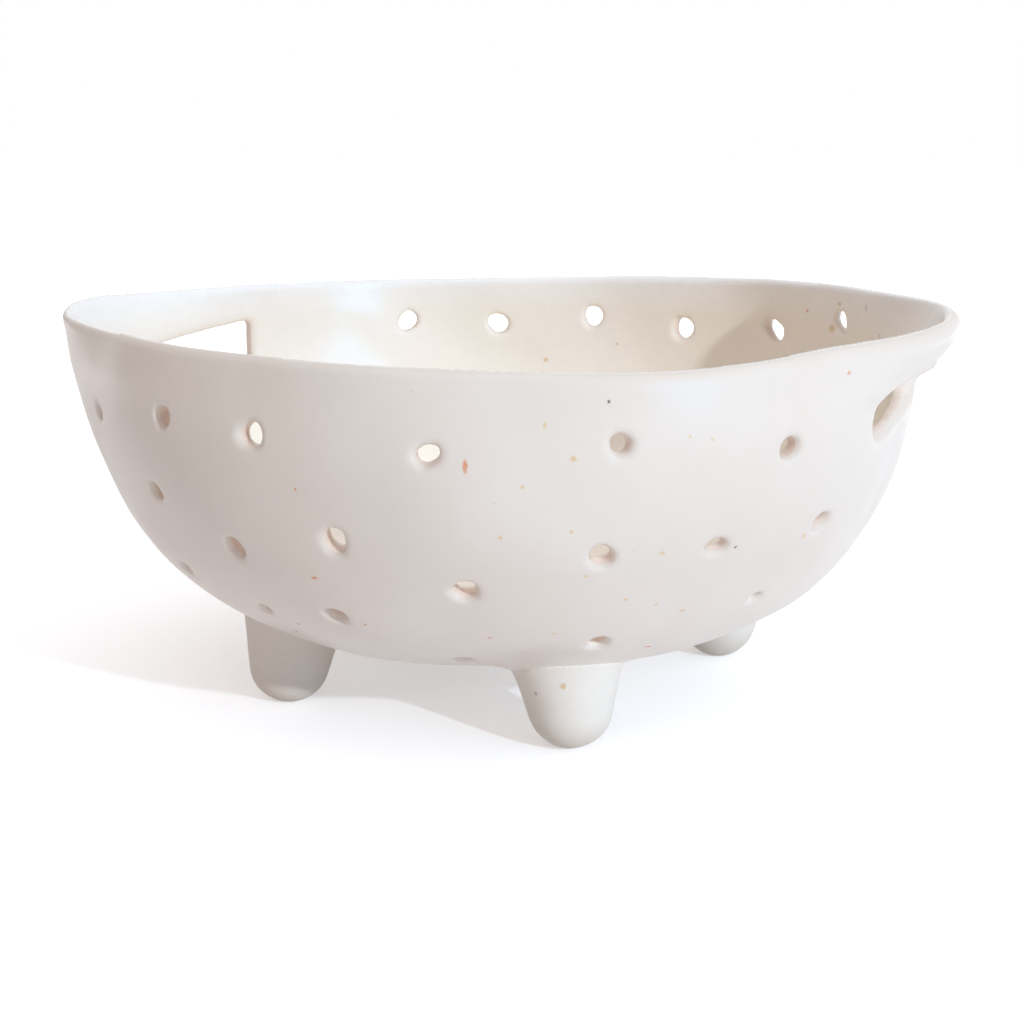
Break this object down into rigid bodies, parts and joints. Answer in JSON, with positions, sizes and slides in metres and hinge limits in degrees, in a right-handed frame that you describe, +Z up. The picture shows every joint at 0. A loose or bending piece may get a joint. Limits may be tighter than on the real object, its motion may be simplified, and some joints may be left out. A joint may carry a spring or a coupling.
{
  "type": "berry colander bowl",
  "caption": "Small hand-pinched glazed stoneware colander bowl with poked drain holes, finger slots under flared lips at both sides, standing on short luted feet",
  "frame": {"origin": "On the table, on the bowl's upright axis, midway between the feet", "axes": "+Z up along the bowl's axis; X through the middles of both finger slots; Y across the plain sides of the rim"},
  "size_m": [0.1988, 0.1816, 0.0869],
  "materials": {
    "glazed_bowl": "satin",
    "glazed_foot": "satin"
  },
  "bodies": {
    "root": {"bowl": "glazed_bowl", "foot_right": "glazed_foot", "foot_back": "glazed_foot", "foot_left": "glazed_foot", "foot_front": "glazed_foot"}
  },
  "joints": []
}
